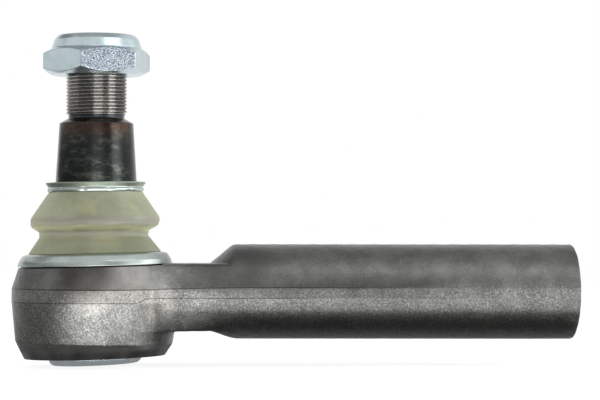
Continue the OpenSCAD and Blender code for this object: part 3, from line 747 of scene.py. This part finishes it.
def stud(tree):
    """Ball, neck, taper and thread core turned in one, with the rolled ridge round the core."""
    climb = np.linspace(-math.pi / 2, math.acos(STUD_NECK_R / BALL_R), 40)
    ball = np.stack((BALL_R * np.cos(climb), BALL_R * np.sin(climb)), -1)
    rest = rounded(((0, 0, 0), (STUD_NECK_R, ball[-1, 1], 0), (STUD_NECK_R, STUD_NECK_TOP, 3.0),
                    (LAND_R, LAND_FOOT, 1.0), (LAND_R, LAND_TOP, 0), (TAPER_R, TAPER_TOP, 0.5),
                    (RELIEF_R, RELIEF_Z, 0.4),
                    (RELIEF_R, RELIEF_Z + 1.2, 0), (STUD_ROOT, RELIEF_Z + 1.5, 0),
                    (STUD_ROOT, STUD_TOP - 0.8, 0), (STUD_ROOT - 0.8, STUD_TOP, 0), (0, STUD_TOP, 0)))
    points, quads = spun(divided(np.concatenate((ball, rest[2:])), 1.6))
    body = make("stud_body", points, quads, (STUD_SKIN, STUD_THREAD),
                lambda middle: middle[:, 2] > RELIEF_Z + 1)
    mesh = ridged("stud_thread", tree, STUD_ROOT - 0.1, STUD_CREST, STUD_TOP - RELIEF_Z - 3, STUD_THREAD)
    start = BALL + Vector((0, 0, RELIEF_Z + 1.9)) * MM
    mesh.transform(Matrix.Translation(start) @ Matrix.Rotation(math.pi / 2, 4, "Z"))
    ridge = finish("stud_thread_ridge", mesh, (STUD_THREAD,))
    for piece in (body, ridge):
        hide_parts("ball_stud")
        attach(piece, "stud")


def lower_ring():
    """Pressed ring that clamps the boot's foot, domed over to its lip."""
    foot, shoulder = LEDGE_Z + 0.5, RING_LIP_Z - 2.9
    points, quads = spun(rounded((
        (32.1, foot, 0.2), (33.15, foot, 0.2), (32.5, shoulder, 1.4), (31.0, RING_LIP_Z - 0.6, 1.6),
        (29.2, RING_LIP_Z, 1.6), (27.6, RING_LIP_Z, 0.3), (27.6, RING_LIP_Z - 0.9, 0.2),
        (30.1, RING_LIP_Z - 1, 1.2), (31.6, shoulder - 0.3, 1.0))))
    piece = make("boot_lower_ring_pressed", settle(points), quads, (ZINC_SHEET,))
    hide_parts("boot_lower_ring")
    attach(piece, "housing")


def upper_ring():
    """Pressed collar round the boot's mouth: a flared flange over a bead that is crimped in places."""
    def crimp(r, z, angle):
        off = (angle - CRIMP_TURN) % (math.tau / CRIMPS)
        off = np.minimum(off, math.tau / CRIMPS - off) / CRIMP_HALF
        bead = np.clip((r - BEAD_R) / BEAD_RUN, 0, 1) * np.clip((BEAD_TOP - z) / BEAD_RUN, 0, 1)
        return r - CRIMP_DEPTH * np.exp(-off * off) * bead, z

    points, quads = spun(rounded((
        (17.83, 46.95, 0.2), (17.83, 46.0, 0.2), (19.73, 46.0, 0.2), (19.73, 42.7, 0.2), (20.3, 42.6, 0.4),
        (20.85, 43.55, 0.8), (20.1, 44.55, 0.4), (21.42, 46.25, 0.1), (21.3, 46.62, 0.1))), 360, crimp)

    # Faces on the flare take the darker, greener zinc: a painted reflection of the boot
    def painted_reflection(middle):
        return (middle[:, 2] > BOOT_REFLECTION_Z) & (np.hypot(middle[:, 0], middle[:, 1]) > BOOT_REFLECTION_R)

    piece = make("boot_upper_ring_pressed", settle(points), quads, (ZINC_SHEET, ZINC_BOOT_REFLECTION), painted_reflection)
    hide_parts("boot_upper_ring")
    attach(piece, "collar")


def boot():
    """Moulded boot in two halves that meet at the waist."""
    outer = rounded(((19.65, 45.9, 0), (19.65, 42.6, 0.1), (20.0, 42.5, 0.2), (27.7, 31.3, 3.0),
                     (27.4, 28.0, 2.4), (23.5, 25.7, 1.2), (23.2, 23.6, 1.4), (28.5, RING_LIP_Z + 0.1, 0.2),
                     (27.35, RING_LIP_Z + 0.1, 0.2), (27.35, RING_LIP_Z - 1.1, 0),
                     (28.5, RING_LIP_Z - 1.1, 0.2), (31.3, 12.2, 0.3), (25.2, 12.2, 0)), 12)[:-1]
    inner = rounded(((25.2, 12.2, 0), (25.2, 16.8, 1.0), (21.5, 24.0, 2.0), (25.7, 30.0, 2.0),
                     (18.63, 42.6, 1.0), (18.63, 45.9, 0)), 12)

    def cut(side):
        """A side in small steps: what comes before the waist, the point on it, and what comes after."""
        fine = divided(side, 0.8)
        over = fine[:, 1] > WAIST_Z
        edge = np.flatnonzero(over[1:] != over[:-1])[0]
        a, b = fine[edge], fine[edge + 1]
        waist = a + (b - a) * (WAIST_Z - a[1]) / (b[1] - a[1])
        return fine[:edge + 1], waist[None], fine[edge + 1:]

    above, waist, below = cut(outer)
    inner_below, inner_waist, inner_above = cut(inner)
    upper = (above, waist, inner_waist, inner_above)
    lower = (waist, below, inner_below, inner_waist)
    for name, sides, first, last, start, end in (("boot_upper_half", upper, "boot", "collar", 25, 41),
                                                 ("boot_lower_half", lower, "housing", "boot", 17.2, 24)):
        points, quads = spun(np.concatenate(sides)[::-1], 160)
        piece = make(name, settle(points), quads, (BOOT,), crease=50)
        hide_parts("boot")
        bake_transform(piece)


def lock_nut():
    """Hexagon nut with turned corners and a round collar rolled in over the insert."""
    soft = (NUT_FLAT - NUT_CORNER_ROUND) / math.cos(math.pi / 6)

    def hexagon(angle):
        off = (angle - NUT_TURN) % (math.pi / 3)
        off = np.minimum(off, math.pi / 3 - off)
        flat = NUT_FLAT / np.cos(math.pi / 6 - off)
        inner = np.maximum(NUT_CORNER_ROUND ** 2 - (soft * np.sin(off)) ** 2, 0)
        corner = soft * np.cos(off) + np.sqrt(inner)
        return np.where(soft * np.sin(off) < NUT_CORNER_ROUND / 2, corner, flat)

    # Rows marked by a radius over 100 follow the hexagon, and their height follows the turned chamfers.
    side, slope, face, top = 100.0, math.tan(math.pi / 6), 19.3, 19.6
    lower = [(13.6, 0), (face - 0.3, 0), (face, 0.12), (side + 1, 0), (side + 2, 0)]
    upper = [(side + 3, 0), (side + 4, 0), (top, NUT_HEX_H - 0.08), (19.35, NUT_HEX_H + 0.1)]
    collar = rounded(((19.25, NUT_HEX_H + 0.4, 0.2), (18.15, NUT_H - 2.1, 1.0), (16.4, NUT_H, 1.7),
                      (14.8, NUT_H, 0.3), (14.8, NUT_H - 1.35, 0), (16.0, NUT_H - 1.35, 0),
                      (16.0, NUT_H - 4.65, 0), (13.05, NUT_H - 4.65, 0), (13.05, 0.55, 0)))
    outline = np.concatenate((lower, upper, divided(collar, 0.8)))

    def bend(r, z, angle):
        wide = hexagon(angle)
        low, high = (wide - face) * slope, NUT_HEX_H - (wide - top) * slope
        for mark, pull, height in ((1, 0.1, low), (2, 0, low + 0.25), (3, 0, high - 0.25), (4, 0.1, high)):
            row = r == side + mark
            r, z = np.where(row, wide - pull, r), np.where(row, height, z)
        return r, z

    points, quads = spun(outline, 720, bend)
    points[:, 2] += NUT_SEAT

    def sawn(middle):
        way = np.degrees(np.arctan2(middle[:, 1], middle[:, 0]) - NUT_TURN) % 360
        low = middle[:, 2] < NUT_SEAT + NUT_HEX_H - 0.3
        flat = np.hypot(middle[:, 0], middle[:, 1]) * np.cos(np.radians(way % 60 - 30)) > NUT_FLAT - 0.4
        return low & flat & (way // 60 == SAWN_FLAT)

    piece = make("lock_nut_hexagon", points, quads, (ZINC, ZINC_SAWN), sawn, 20)
    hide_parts("lock_nut")
    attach(piece, "nut")


thread = thread_tree()
housing()
rod_thread(thread)
cover()
stud(thread)
lower_ring()
upper_ring()
boot()
lock_nut()


# Studio

FLOOR_Z, FLOOR_REACH = COVER_END - 0.4, 4
ROOM_LIGHT, FLOOR_LIGHT, FLOOR_SEEN = 0.38, 0.3, 0.86


def board(name, foot, top, glow):
    """A card or soft box between two rows of points, in millimetres from the ball, seen only in metal."""
    count = len(foot)
    mesh = bpy.data.meshes.new(name)
    mesh.from_pydata([BALL + Vector(point) * MM for point in (*foot, *top)], [],
                     [(k, k + 1, count + k + 1, count + k) for k in range(count - 1)])
    cloth = bpy.data.materials.new(name + "_cloth")
    cloth.use_nodes = True
    tree = cloth.node_tree
    tree.nodes.clear()
    shine = node(tree, "ShaderNodeEmission", {"Strength": glow})
    node(tree, "ShaderNodeOutputMaterial", {"Surface": shine})
    mesh.materials.append(cloth)
    thing = bpy.data.objects.new(name, mesh)
    thing.visible_camera = thing.visible_diffuse = thing.visible_shadow = False
    bpy.context.collection.objects.link(thing)


def studio():
    """Pale floor and white surroundings, with cards on the floor and boards round them for the metal."""
    wide = bpy.data.meshes.new("floor")
    wide.from_pydata([(x * FLOOR_REACH, y * FLOOR_REACH, FLOOR_Z * MM)
                      for x, y in ((-1, -1), (1, -1), (1, 1), (-1, 1))], [], [(0, 1, 2, 3)])
    paper = bpy.data.materials.new("paper_floor_white")
    paper.use_nodes = True
    world = bpy.data.worlds.new("white_room")
    world.use_nodes = True
    for tree in (paper.node_tree, world.node_tree):
        tree.nodes.clear()
        sees = node(tree, "ShaderNodeLightPath").node.outputs
        direct = node(tree, MATH, {0: sees["Is Glossy Ray"], 1: sees["Is Transmission Ray"]},
                      operation="MAXIMUM")
        direct = node(tree, MATH, {0: direct, 1: sees["Is Camera Ray"]}, operation="MAXIMUM")
        if tree == world.node_tree:
            level = node(tree, RANGE, {"Value": direct, "To Min": ROOM_LIGHT})
            sky = node(tree, "ShaderNodeBackground", {"Color": tone("#ffffff"), "Strength": level})
            node(tree, "ShaderNodeOutputWorld", {"Surface": sky})
        else:
            level = node(tree, RANGE, {"Value": direct, "To Min": FLOOR_LIGHT, "To Max": FLOOR_SEEN})
            glow = node(tree, "ShaderNodeEmission", {"Strength": level})
            matt = node(tree, "ShaderNodeBsdfDiffuse", {"Color": tone("#a0a0a0")})
            lit = node(tree, "ShaderNodeAddShader", {0: matt, 1: glow})
            under = node(tree, "ShaderNodeNewGeometry", out="Backfacing")
            clear = node(tree, "ShaderNodeBsdfTransparent")
            seen = node(tree, "ShaderNodeMixShader", {0: under, 1: lit, 2: clear})
            node(tree, "ShaderNodeOutputMaterial", {"Surface": seen})
    bpy.context.scene.world = world
    wide.materials.append(paper)
    floor = bpy.data.objects.new("floor", wide)
    bpy.context.collection.objects.link(floor)

    # Cards on the floor, from and to along X, from and to along Y, and their glow. The dim cards under the
    # head, neck and shank stand for the part's shadow on the floor: painted shadow that only the metal sees
    card_z = FLOOR_Z + 0.1
    for name, x0, x1, y0, y1, glow in (
            ("card_under_shank", 50, 214, -38, -6, 0.13), ("card_behind_shank", 50, 214, -6, 34, 0.4),
            ("card_under_head", -62, 28, -62, 62, 0.3), ("card_under_neck", 28, 50, -24, 62, 0.3),
            ("card_left_of_head", -330, -62, -260, 200, 0.2),
            ("card_before_head", -62, 70, -190, -62, 4.6),
            ("card_beyond_head", -62, 40, -330, -190, 4.6), ("card_beyond_neck", 40, 70, -330, -190, 1.7),
            ("card_before_shank", 70, 330, -330, -38, 1.7),
            ("card_before_neck", 28, 50, -62, -24, 2.0), ("card_far_head", -250, 60, -790, -330, 2.6),
            ("card_far_shank", 60, 330, -790, -330, 1.2)):
        board(name, [(x0, y0, card_z), (x1, y0, card_z)], [(x0, y1, card_z), (x1, y1, card_z)], glow)

    # Upright cards, from and to in X and Y, lower and upper edge, and glow, and one flag overhead
    for name, x0, y0, x1, y1, low, high, glow in (
            ("card_beyond_shank", 350, -62, 400, -360, -26, 60, 7.0),
            ("flag_before_shank", 55, -270, 260, -270, 112, 200, 0.12)):
        board(name, [(x0, y0, low), (x1, y1, low)], [(x0, y0, high), (x1, y1, high)], glow)
    board("flag_above", [(-500, -250, 900), (500, -250, 900)], [(-500, 900, 900), (500, 900, 900)], 0.53)

    # Boards bent round the ball: how far off, from and to in degrees, lower and upper edge, and glow
    for name, away, left, right, low, high, glow in (
            ("board_front_low", 800, -52, 11, -28, 84, 2.9),
            ("flag_left_low", 800, -125, -52, -28, 45, 0.4),
            ("board_right_front", 800, 11, 22, -28, 84, 1.3),
            ("board_right_far", 800, 22, 46, -28, 84, 2.8),
            ("board_front", 800, -12, 22, 84, 147, 3.0),
            ("flag_left_middle", 800, -78, -12, 84, 147, 0.3),
            ("flag_right_middle", 800, 22, 46, 84, 147, 0.2),
            ("flag_front", 800, -70, 46, 147, 245, 0.5),
            ("board_right_low", 800, 46, 74, -28, 130, 2.3),
            ("board_right_middle", 800, 46, 74, 130, 260, 3.4),
            ("board_right_high", 800, 18, 70, 560, 950, 2.6),
            ("board_side", 800, 76, 112, 170, 430, 2.7),
            ("flag_left_back", 800, -155, -100, 500, 1200, 0.3),
            ("flag_round_head", 190, -140, -14, 40, 88, 0.25)):
        ways = [math.radians(left + (right - left) * k / 8) for k in range(9)]
        foot = [(away * math.sin(way), -away * math.cos(way), low) for way in ways]
        board(name, foot, [(x, y, high) for x, y, _ in foot], glow)


def lamp(name, place, aim, size, power):
    """A soft box that lights matt surfaces only; metal mirrors the boards instead."""
    light = bpy.data.lights.new(name, "AREA")
    light.shape, light.size, light.energy = "SQUARE", size, power
    thing = bpy.data.objects.new(name, light)
    thing.location = place
    thing.rotation_euler = (Vector(aim) - Vector(place)).to_track_quat("-Z", "Y").to_euler()
    thing.visible_glossy = False
    bpy.context.collection.objects.link(thing)


def camera():
    """Long lens, level with the boot, turned a little so that the shank runs away to the right."""
    wide, high, focus, sensor = 600, 400, 2400.0, 36.0
    yaw, pitch, roll = (math.radians(a) for a in (6.79, 0.95, 0.19))
    distance, ball_x, ball_y = 1.0298, 95.7, 291.28
    ahead = Vector((math.sin(yaw) * math.cos(pitch), math.cos(yaw) * math.cos(pitch), math.sin(pitch)))
    level = Vector((math.cos(yaw), -math.sin(yaw), 0))
    right = level * math.cos(roll) + level.cross(ahead) * math.sin(roll)
    above = right.cross(ahead)
    data = bpy.data.cameras.new("camera")
    data.sensor_width, data.lens = sensor, sensor * focus / wide
    data.clip_start, data.clip_end = 0.05, 20
    eye = bpy.data.objects.new("camera", data)
    eye.matrix_world = Matrix((right, above, -ahead)).transposed().to_4x4()
    aim = ahead + (right * (ball_x - wide / 2) - above * (ball_y - high / 2)) / focus
    eye.location = BALL - distance * aim
    bpy.context.collection.objects.link(eye)
    bpy.context.scene.camera = eye


studio()
lamp("left_box", (-1.35, -0.35, 0.4), (-0.2, 0, 0.04), 0.6, 7.5)
lamp("right_box", (0.95, -0.25, 0.4), (-0.2, 0, 0.04), 0.5, 13)
camera()
bpy.context.scene.view_settings.view_transform = "Standard"
